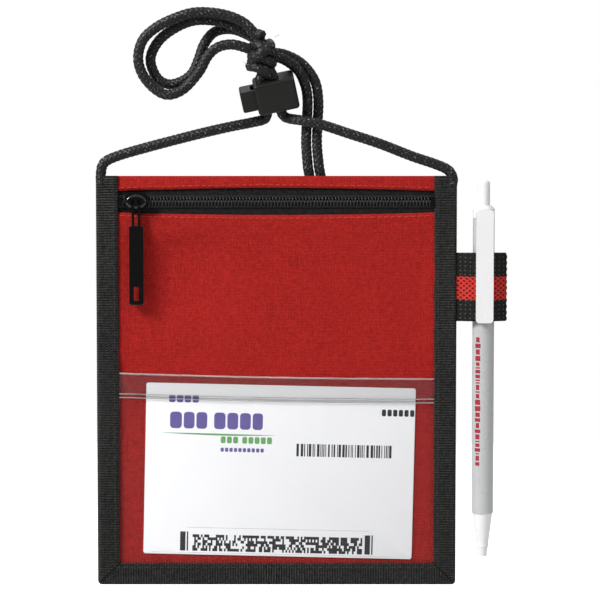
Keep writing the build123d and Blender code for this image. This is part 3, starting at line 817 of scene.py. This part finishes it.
def coil_row(side):
    """One row of the nylon coil: a flattened spiral whose turns reach past the middle of the zip."""
    shapes = []
    for k in range(int(2 * (INNER_X - 0.4) / TOOTH_PITCH)):
        x = -INNER_X + 0.6 + k * TOOTH_PITCH + (TOOTH_PITCH / 2 if side > 0 else 0)
        if x <= INNER_X - 0.5:
            turn = [(x + across, y, ZIP_Z + side * up) for across, y, up in COIL_TURN]
            shapes.append(tube(flow(turn, 0.42), even(0.27), 7))
    seam = np.array([(x, -0.92, ZIP_Z + side * 1.95) for x in np.arange(-INNER_X, INNER_X, 0.35)])
    shapes.append(tube(seam, seam_radius, 7))
    return join_shapes(shapes)


for name, side in (("upper", 1), ("lower", -1)):
    add_piece(f"coil_{name}", coil_row(side), "pouch", zip_nylon, f"zip_coil_{name}")

# ---- clear window ----
VINYL_INNER = -1.65
VINYL_T = 0.22
VINYL_REACH = INNER_X + 5.5
HEM_GAP = 0.05


def window_top(x):
    """The window's folded top edge runs slightly downhill to the right and sags in the middle."""
    return WINDOW_TOP - 0.018 * x - 0.5 * bow(x)


def film_wave(x, z):
    """The film's slight waviness, and the crinkle at the window's top left corner."""
    inside = swell(INNER_X - abs(x), -1, 8)
    crinkle = -0.35 * math.exp(-(((x + 56) / 2.5) ** 2) - ((z - 71) / 4) ** 2) * math.sin(2.2 * z)
    return inside * (0.10 * ripple(x, z, 14, 9.0) - 0.12 * swell(z, 60, 76)) + crinkle


def film(name, z_low, y_back, material, step, replaces=None):
    """A layer of the window, from z_low(x) up to its folded top edge."""
    rows = max(6, int((window_top(0) - z_low(0)) / step))
    shape = sheet(
        VINYL_REACH, int(2 * VINYL_REACH / step), rows, z_low, window_top,
        lambda x, z: y_back - VINYL_T + film_wave(x, z), VINYL_T)
    add_piece(name, shape, "pouch", material, replaces)


film("window_film", lambda x: bottom_edge(x) + 0.3, VINYL_INNER, window_vinyl, 2.0, "clear_window")
film("window_hem", lambda x: window_top(x) - HEM_H, VINYL_INNER - VINYL_T - HEM_GAP, hem_vinyl, 1.2)


def weld_lines():
    """The rounded fold at the window's top and the two ridges that weld its hem down; their whitish film is
    painted highlight.
    """
    shapes = []
    ridges = ((0.0, 0.30, 0.22), (HEM_H - 0.3, 0.16, 0.52), (HEM_H - 1.7, 0.16, 0.52))
    for drop, radius, deep in ridges:
        line = []
        for x in np.linspace(-INNER_X - 0.3, INNER_X + 0.3, 160):
            z = window_top(x) - drop + 0.12 * ripple(x, drop, 6, 3.0)
            line.append((x, VINYL_INNER - deep + film_wave(x, z), z))
        shapes.append(tube(np.array(line), even(radius), 8))
    return join_shapes(shapes)


add_piece("window_welds", weld_lines(), "pouch", weld_vinyl)

# ---- badge card ----
CARD_W, CARD_H, CARD_T = 100.0, 64.0, 0.35
CARD_X, CARD_Z = 1.0, 42.7
CARD_TURN = math.radians(1.3)
CARD_FRONT = -1.55
CARD_CORNER = 0.8
INK_OUT, INK_IN = 0.012, 0.01  # how far print stands out of the card, and reaches into it


def on_card(x, y, z):
    """A point measured from the card's centre along its edges, in pouch millimetres."""
    turned_x = x * math.cos(CARD_TURN) + z * math.sin(CARD_TURN)
    turned_z = -x * math.sin(CARD_TURN) + z * math.cos(CARD_TURN)
    return CARD_X + turned_x, y, CARD_Z + turned_z


def card_body():
    """The card, with rounded corners and slightly softened edges."""
    outline = rounded_outline(-CARD_W / 2, -CARD_H / 2, CARD_W, CARD_H, CARD_CORNER, 6)
    loops = []
    for share, depth in ((0.998, 0), (1, 0.05), (1, CARD_T - 0.05), (0.998, CARD_T)):
        loops.append([on_card(x * share, CARD_FRONT + depth, z * share) for x, z in outline])
    return skin(loops)


add_piece("card", card_body(), "badge_card", card_stock, "badge_card")


def ink_patch(outline):
    """A flat printed patch, from its outline on the card."""
    front = [on_card(x, CARD_FRONT - INK_OUT, z) for x, z in outline]
    back = [(x, CARD_FRONT + INK_IN, z) for x, _, z in front]
    return skin([front, back])


def ink_bar(x0, x1, z0, z1):
    return ink_patch([(x0, z0), (x1, z0), (x1, z1), (x0, z1)])


def bar_code(x0, x1, z0, z1, seed):
    """A row of upright bars of random width."""
    chance = random.Random(seed)
    bars, x = [], x0
    while x < x1 - 0.8:
        width = chance.choice((0.3, 0.4, 0.6, 0.9))
        bars.append(ink_bar(x, x + width, z0, z1))
        x += width + chance.choice((0.25, 0.35, 0.5, 0.7))
    return bars


def dot_code(x0, x1, z0, z1, seed):
    """A strip of small random cells between two pairs of end blocks."""
    chance = random.Random(seed)
    cell_w, cell_h, filled = 0.62, 1.03, 0.6
    overlap_w, overlap_h = 1.04, 1.02
    cells = []
    for column in range(int((x1 - x0) / cell_w)):
        for row in range(int((z1 - z0) / cell_h)):
            if chance.random() < filled:
                x, z = x0 + column * cell_w, z0 + row * cell_h
                cells.append(ink_bar(x, x + cell_w * overlap_w, z, z + cell_h * overlap_h))
    for start in (x0 - 4.0, x1 + 0.8):
        cells.append(ink_bar(start, start + 2.0, z0, z1))
        cells.append(ink_bar(start + 2.5, start + 3.0, z0, z1))
    return cells


def plain_words(x0, z0, height, widths, gap):
    """A row of rounded blocks, one for each width."""
    shapes, x = [], x0
    for width in widths:
        corner = min(height, width) * 0.3
        shapes.append(ink_patch(rounded_outline(x, z0, width, height, corner, 3)))
        x += width + gap
    return shapes


def swoosh(x0, z0, length, rise, thick):
    """A plain tapered arc."""
    upper, lower = [], []
    for t in np.linspace(0, 1, 15):
        x = x0 + length * t
        z = z0 + rise * math.sin(math.pi * t * 0.8)
        half = thick * math.sin(math.pi * (0.03 + 0.94 * t)) / 2
        upper.append((x, z + half))
        lower.append((x, z - half))
    return ink_patch(lower + upper[::-1])


# Print is placed from the card's centre. It follows the layout of the real card's print, in
# plain shapes that say nothing.
codes = bar_code(6.2, 41.8, 5.7, 10.4, 11) + dot_code(-32.4, 31.6, -30.6, -23.4, 5)
codes += plain_words(37.6, 21.4, 2.5, [1.55] * 6, 0.55)
title = plain_words(-41, 15.2, 6.2, (4.4, 4.0, 4.0), 0.7)
title += plain_words(-24.6, 15.2, 6.2, (4.2, 4.0, 4.0, 3.8), 0.7)
title += plain_words(-41.5, 24.9, 2.8, [2.4] * 4, 0.5)
title += plain_words(-22, 6.8, 1.5, [1.2] * 10, 0.45)
accent = [swoosh(-44, 13.5, 42, -0.35, 0.7)]
accent += plain_words(-22, 10.0, 2.5, [1.8] * 3, 0.5)
accent += plain_words(-14, 10.0, 2.5, [1.8] * 5, 0.5)
rules = [ink_bar(-34, 34, -21.9, -21.75), ink_bar(-47, 47, -31.3, -31.2)]
for name, shapes, ink in (("codes", codes, print_black), ("title", title, print_violet),
                          ("accent", accent, print_green), ("rules", rules, print_grey)):
    add_piece(f"card_{name}", join_shapes(shapes), "badge_card", ink, smooth=False)

# ---- pen loop ----
WEB_LOW, WEB_HIGH = 98.6, 124.0
WEB_T = 1.2
WEB_STEP = 0.34
WEB_ROW, WEB_REPEAT = 1.15, 2.1  # the coarse weave's height of row, and repeat along it
PEN_ROOM = 4.35
STRIPE_LOW, STRIPE_HIGH = 106.7, 115.3
loop_webbing = banded_webbing(
    "loop_webbing", grey(0.005), (0.022, 0.022, 0.021), (0.09, 0.085, 0.07), (0.52, 0.035, 0.028),
    STRIPE_LOW * MM + ORIGIN.z, STRIPE_HIGH * MM + ORIGIN.z)


def loop_middle_line():
    """The webbing's middle line from above: out of the binding, round the pen and back."""
    front_half = (
        (HALF_W - 0.6, -0.75), (HALF_W + 1.6, -1.5), (HALF_W + 3.9, -3.6), (PEN_X - 2.6, -4.9),
        (PEN_X, -PEN_ROOM - WEB_T / 2), (PEN_X + 2.6, -4.7), (PEN_X + 5.4, -2.6), (HALF_W + 17.0, -1.05),
    )
    front = [(x, y, 0) for x, y in front_half]
    back = [(x, -y, 0) for x, y in reversed(front_half)]
    return flow([*front, (HALF_W + 18.1, 0.0, 0), *back], WEB_STEP)


def pen_webbing():
    """A band of webbing with its coarse weave modelled in its faces."""
    line = loop_middle_line()
    along = np.gradient(line, axis=0)
    outward = np.stack([along[:, 1], -along[:, 0], np.zeros(len(line))], axis=1)
    outward /= np.linalg.norm(outward, axis=1)[:, None]
    distance = np.arange(len(line)) * WEB_STEP
    faces_out, faces_in = [], []
    for z in np.linspace(WEB_LOW, WEB_HIGH, 76):
        edge = min(z - WEB_LOW, WEB_HIGH - z)
        plump = WEB_T / 2 * (0.45 + 0.55 * min(1.0, edge / 0.8) ** 0.5)
        shift = math.pi if int(z / WEB_ROW) % 2 else 0
        weave = np.sin(distance * 2 * math.pi / WEB_REPEAT + shift)
        lumps = 0.13 * weave * abs(math.sin(math.pi * z / WEB_ROW)) ** 0.6
        half = outward * (plump + lumps)[:, None]
        middle = line.copy()
        middle[:, 2] = z + 0.25 * np.sin(distance / 7.0) * swell(3 - edge, 0, 3)
        faces_out.append(middle + half)
        faces_in.append(middle - half)
    return closed_sheet(np.array(faces_out), np.array(faces_in))


add_piece("loop_band", pen_webbing(), "pouch", loop_webbing, "pen_loop")

# ---- neck cord ----
BRAID_STRANDS = 12
BRAID_LAY = 11.0
BRAID_DEPTH = 0.22
BRAID_AROUND = 36
BRAID_STEP = 0.36
BEND_TOP, BEND_LOW = 157.2, 152.0  # two heights on the leads near the pouch's top
LOCK_TURN, LOCK_LEAN = math.radians(12), math.radians(25)
LOCK_MIDDLE = np.array((-0.5, -0.4, 182.9))
LEFT_SLOT, RIGHT_SLOT = -4.3, 0.5  # across the lock
OUTER_Y, INNER_Y, BEHIND_Y = -3.2, 0.7, 3.9  # depths of the two coils, and of the run behind the pouch


def braid_radius(angles, distance):
    """A round braid: two crossing sets of strands that bulge where they lie on top."""
    twist = 2 * math.pi * distance / BRAID_LAY
    one_way = np.cos(BRAID_STRANDS / 2 * (angles + twist))
    other_way = np.cos(BRAID_STRANDS / 2 * (angles - twist))
    return CORD_R - BRAID_DEPTH * 0.75 + BRAID_DEPTH * np.maximum(one_way, other_way)


def braided_cord(name, corners, body="lanyard", replaces=None):
    """A length of cord; an attribute marks which strands lie on top, for the glints painted into the yarn's
    colour.
    """
    path = flow(corners, BRAID_STEP)
    piece = add_piece(name, tube(path, braid_radius, BRAID_AROUND), body, cord_yarn, replaces)
    angles = np.linspace(0, 2 * math.pi, BRAID_AROUND, endpoint=False)
    heights = [braid_radius(angles, k * BRAID_STEP) - CORD_R + BRAID_DEPTH for k in range(len(path))]
    raised = np.concatenate([*heights, [0, 0]]) / (1.4 * BRAID_DEPTH)
    attribute = piece.data.attributes.new("raised", "FLOAT", "POINT")
    attribute.data.foreach_set("value", raised.astype(np.float32))
    return piece


def in_lock(x, y, z):
    """A point in the lock's own axes, as a point of the pouch's space."""
    leant_y = y * math.cos(LOCK_LEAN) - z * math.sin(LOCK_LEAN)
    leant_z = y * math.sin(LOCK_LEAN) + z * math.cos(LOCK_LEAN)
    turned_x = x * math.cos(LOCK_TURN) - leant_z * math.sin(LOCK_TURN)
    turned_z = x * math.sin(LOCK_TURN) + leant_z * math.cos(LOCK_TURN)
    return tuple(LOCK_MIDDLE + (turned_x, leant_y, turned_z))


def through_lock(slot):
    """The straight stretch of a cord inside one of the lock's two slots."""
    return [in_lock(slot, 0, along) for along in (6.6, 4.6, 0, -4.6, -6.6)]


def at_depth(y, *places):
    """Points at one depth, from their (x, z) places."""
    return [(x, y, z) for x, z in places]


def place_leads():
    """The cord's two ends, from the knot through the lock to the pouch's top corners."""
    corner_x = HALF_W - CORD_R
    left = [
        (-4.5, OUTER_Y, 191.5), *through_lock(LEFT_SLOT),
        (-4.4, 3.4, 173.4), (-9.5, 2.6, 172), (-17.6, 0.2, 170.4),
        *at_depth(CORD_Y, (-30.1, 167.5), (-48.9, 162.6), (-59, 159.6), (-63.6, 157.2)),
        *at_depth(CORD_Y, (-corner_x, 153.6), (-corner_x, 149.4)),
    ]
    right = [
        (-2.4, OUTER_Y, 191.5), *through_lock(RIGHT_SLOT), (3.4, 3, 174), (9.4, 0.6, 172.8),
        *at_depth(CORD_Y, (16.9, 171.2), (26.7, 168), (38.3, 164.2), (49.9, 159.7), (58.5, 156.8)),
        *at_depth(CORD_Y, (63.3, 154.6), (corner_x + 0.3, 151.6), (corner_x, 148.6)),
    ]
    for name, corners, replaces in (("cord_left", left, "cord_leads"), ("cord_right", right, None)):
        lead = braided_cord(name, corners, None, replaces)
        to_frame((0, CORD_Y, BEND_TOP))
        to_frame((0, CORD_Y, BEND_LOW))
        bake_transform(lead)


def place_coils():
    """The two runs bundled beside the knot, one in front of the other."""
    outer = [(-5.6, -2.8, 201)]
    outer += at_depth(
        OUTER_Y, (-7.8, 204.4), (-12.4, 208.9), (-20, 211.7), (-29.8, 212.3), (-38, 209.9), (-44.5, 206.5),
        (-49, 202.1), (-50.7, 195.7), (-49, 189.5), (-44.5, 184.3), (-39.6, 182.2), (-34, 184.4),
        (-28.4, 190.6), (-25.2, 196.3), (-21.4, 199.6), (-16.2, 200.6), (-10.5, 199.2))
    outer += [(-5.8, -2.6, 197.6)]
    inner = [(-6, 0, 200.6)]
    inner += at_depth(
        INNER_Y, (-9.2, 203.9), (-15.1, 207.2), (-21.1, 209.2), (-29.6, 209.6), (-36.9, 207), (-43.3, 202.1),
        (-46.4, 195.5), (-44.3, 188.9), (-40.2, 186.2), (-35.4, 187), (-31.2, 190))
    inner += [(-28.8, 1.2, 195), (-26.6, 2.6, 201), (-22.6, 4.5, 205.6), (-16, 4.7, 206.4)]
    inner += [(-8.8, 3.4, 203.4), (-5, 0.8, 200.4)]
    braided_cord("cord_outer_coil", outer, replaces="cord_coils")
    braided_cord("cord_inner_coil", inner)


def place_neck_run():
    """The loop that hangs behind the pouch, from the knot down and back up to it."""
    down = [(-3.5, -1.6, 195.6), (1.8, -0.4, 195.6), (7.7, 1.9, 191.6), (10.6, 3.4, 185.9), (11.5, 4.4, 180)]
    down += [(11.2, 4.9, 172), (11, 4.6, 164)]
    bight = at_depth(
        BEHIND_Y, (11.6, 156), (12.4, 146), (12.4, 100), (12.4, 60), (9.4, 49), (9.2, 40),
        (14.5, 35.4), (19.8, 40), (19.6, 49), (16.6, 60), (16.6, 100), (16.6, 146), (15.7, 156))
    up = [(15, 4.6, 164), (15.2, 4.9, 172), (15.5, 4.8, 180), (14.2, 5.4, 187.4), (9.6, 5.4, 193.6)]
    up += [(3.5, 4.6, 197), (-2.5, 1.6, 198)]
    braided_cord("cord_neck_run", down + bight + up, replaces="neck_loop")


place_leads()
place_coils()
place_neck_run()

KNOT_LOW = np.array((-6.2, -3.2, 190.2))
KNOT_HIGH = np.array((-3.9, -1.6, 202.6))
KNOT_TURNS = 3.2
KNOT_SLANT = 0.45
KNOT_WRAP_R = 3.8
TUCK = (
    (-8.2, -1.8, 192.4), (-8.8, -6.0, 194.4), (-5.8, -8.7, 197.0), (-2.4, -7.0, 199.6), (-2.6, -1.8, 201.0),
)


def knot_path():
    """The wraps of the knot, as a tight slanted spiral round the runs it binds."""
    axis = KNOT_HIGH - KNOT_LOW
    unit = axis / np.linalg.norm(axis)
    side = np.cross(unit, (0, 1, 0))
    side /= np.linalg.norm(side)
    front = np.cross(unit, side)
    corners = []
    for k in range(int(KNOT_TURNS * 10) + 1):
        angle = 2 * math.pi * k / 10
        share = k / (KNOT_TURNS * 10)
        around = KNOT_WRAP_R * (math.cos(angle) * side + math.sin(angle) * front)
        corners.append(KNOT_LOW + axis * share + around + unit * (KNOT_WRAP_R * KNOT_SLANT * math.cos(angle)))
    return corners


braided_cord("cord_knot_wraps", knot_path(), replaces="cord_knot")
# One strand crosses over the wraps, the way the knot's last turn is tucked in.
braided_cord("cord_knot_tuck", TUCK)


def stray_fibres():
    """Loose filaments round the knot."""
    chance = random.Random(21)
    shapes = []
    for _ in range(26):
        share = chance.random()
        angle = chance.uniform(0, 2 * math.pi)
        out = np.array((math.cos(angle), math.sin(angle), chance.uniform(-0.5, 0.5)))
        root = KNOT_LOW + (KNOT_HIGH - KNOT_LOW) * share + out * 4.2
        bend = np.array([chance.uniform(-1, 1) for _ in range(3)])
        hair = flow([root, root + out * 0.9 + bend * 0.3, root + out * 1.6 + bend * 1.1], 0.4)
        shapes.append(tube(hair, even(0.05), 4))
    return join_shapes(shapes)


add_piece("cord_fibres", stray_fibres(), "lanyard", cord_yarn)

# ---- pieces that keep their CAD shape ----
CAD_LOOKS = (
    (black_enamel, ("zip_slider_body", "zip_slider_crown", "zip_pull", "zip_stops")),
    (lock_plastic, ("lock_body", "lock_plunger")),
    (spring_steel, ("lock_spring",)),
    (barrel_plastic, ("pen_barrel",)),
    (white_plastic, ("pen_cap_clip", "pen_button", "pen_nose_cone")),
    (inner_plastic, ("pen_cam", "pen_refill_tube")),
    (tip_brass, ("pen_refill_tip",)),
)
BEVELS = {
    "zip_slider_body": 0.15, "zip_slider_crown": 0.1, "zip_pull": 0.12, "pen_cap_clip": 0.25,
    "pen_button": 0.2, "lock_plunger": 0.3,
}
for material, nodes in CAD_LOOKS:
    for node in nodes:
        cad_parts[node].data.materials.clear()
        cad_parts[node].data.materials.append(material)
for node, width in BEVELS.items():
    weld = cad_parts[node].modifiers.new("weld", "WELD")
    weld.merge_threshold = 0.001 * MM
    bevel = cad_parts[node].modifiers.new("bevel", "BEVEL")
    bevel.width = width * MM
    bevel.segments = 3
    bevel.limit_method = "ANGLE"
    bevel.angle_limit = math.radians(35)

# ---- the pen's own pieces ----
SPRING_LOW, SPRING_RISE = 14.5, 17.25
SPRING_PITCH = 1.75
SPRING_R, SPRING_WIRE_R = 1.9, 0.17
BARREL_R, PRINT_R = 4.0, 4.04
PRINT_LOW, PRINT_HIGH = 45.0, 91.0
PRINT_ANGLE = math.radians(236)  # front left of the barrel


def return_spring():
    """The pen's coil spring."""
    path = []
    for turn in np.arange(0, SPRING_RISE / SPRING_PITCH, 1 / 20):
        angle = 2 * math.pi * turn
        x = PEN_X + SPRING_R * math.cos(angle)
        path.append((x, SPRING_R * math.sin(angle), SPRING_LOW + SPRING_PITCH * turn))
    shape = tube(np.array(path), even(SPRING_WIRE_R), 8)
    spring = add_piece("pen_coil", shape, "pen", spring_steel, "pen_spring")
    to_frame((PEN_X, 0, SPRING_LOW))
    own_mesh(spring)


def barrel_sheet(radius, turns, heights):
    """A grid of points wrapped round the barrel."""
    return np.array([[(PEN_X + radius * math.cos(turn), radius * math.sin(turn), height)
                      for turn in turns] for height in heights])


def barrel_print():
    """Generic dashes printed up the barrel's side, where a maker's line of text would go."""
    chance = random.Random(8)
    shapes, z = [], PRINT_LOW
    while z < PRINT_HIGH:
        length = chance.choice((0.5, 1.3, 1.6, 1.9))
        width = chance.uniform(0.16, 0.30)
        turns = np.linspace(PRINT_ANGLE - width, PRINT_ANGLE + width, 7)
        sheets = [barrel_sheet(radius, turns, (z, z + length)) for radius in (PRINT_R, BARREL_R)]
        shapes.append(closed_sheet(*sheets))
        z += length + 0.5
    return join_shapes(shapes)


return_spring()
add_piece("barrel_dashes", barrel_print(), "pen", print_red, smooth=False)

# ---- stage, light and camera ----
VIEW_WIDTH = 0.2225
LENS, SENSOR = 150.0, 36.0
ELEVATION = math.radians(4)
TARGET = Vector(to_frame((8.7, 0.0, 106.4)).tolist())
SPAN = 1.2
FLOOR_Z = -0.10
FLOOR_GLOW = 0.7  # lifts the floor to the photo's white for the camera only


def place_camera():
    data = bpy.data.cameras.new("camera")
    data.lens = LENS
    data.sensor_width = SENSOR
    camera = bpy.data.objects.new("camera", data)
    distance = VIEW_WIDTH * LENS / SENSOR
    camera.location = TARGET + Vector((0, -math.cos(ELEVATION), math.sin(ELEVATION))) * distance
    camera.rotation_euler = (math.radians(90) - ELEVATION, 0, 0)
    bpy.context.scene.collection.objects.link(camera)
    bpy.context.scene.camera = camera


def soft_light(name, place, power, size):
    """A square area light aimed at the part."""
    data = bpy.data.lights.new(name, "AREA")
    data.energy = power
    data.size = size
    light = bpy.data.objects.new(name, data)
    light.location = place
    light.rotation_euler = (TARGET - Vector(place)).to_track_quat("-Z", "Y").to_euler()
    bpy.context.scene.collection.objects.link(light)


def place_floor():
    paint, tree, main = shader("floor_paint", grey(0.62), 0.9, shine=0.0)
    seen = add_node(tree, "LightPath").outputs["Is Camera Ray"]
    glow = combine(tree, seen, FLOOR_GLOW, "MULTIPLY")
    fill_in(tree, main, Emission_Color=WHITE, Emission_Strength=glow)
    corners = [(x * SPAN, y * SPAN, FLOOR_Z) for x, y in ((-1, -1), (1, -1), (1, 1), (-1, 1))]
    mesh = bpy.data.meshes.new("floor")
    mesh.from_pydata(corners, [], [(0, 1, 2, 3)])
    mesh.materials.append(paint)
    floor = bpy.data.objects.new("floor", mesh)
    bpy.context.scene.collection.objects.link(floor)


def place_sky():
    """Even light from above, darker at the horizon, behind a background the camera sees as white."""
    world = bpy.data.worlds.new("world")
    world.use_nodes = True
    tree = world.node_tree
    where = add_node(tree, "TexCoord").outputs["Generated"]
    height = add_node(tree, "SeparateXYZ", Vector=where).outputs["Z"]
    dome = ramp(tree, height, [(0.0, grey(0.06)), (0.25, grey(0.34)), (0.8, grey(0.80))])
    seen = add_node(tree, "LightPath").outputs["Is Camera Ray"]
    fill_in(tree, tree.nodes["Background"], Color=tint(tree, seen, dome, WHITE))
    bpy.context.scene.world = world


place_camera()
soft_light("key", (-0.80, -0.55, 0.80), 17.0, 0.35)
soft_light("fill", (0.80, -0.55, 0.35), 1.4, 0.6)
soft_light("back", (0.1, 0.9, 0.6), 3.0, 0.7)
place_floor()
place_sky()
bpy.context.scene.view_settings.view_transform = "Standard"
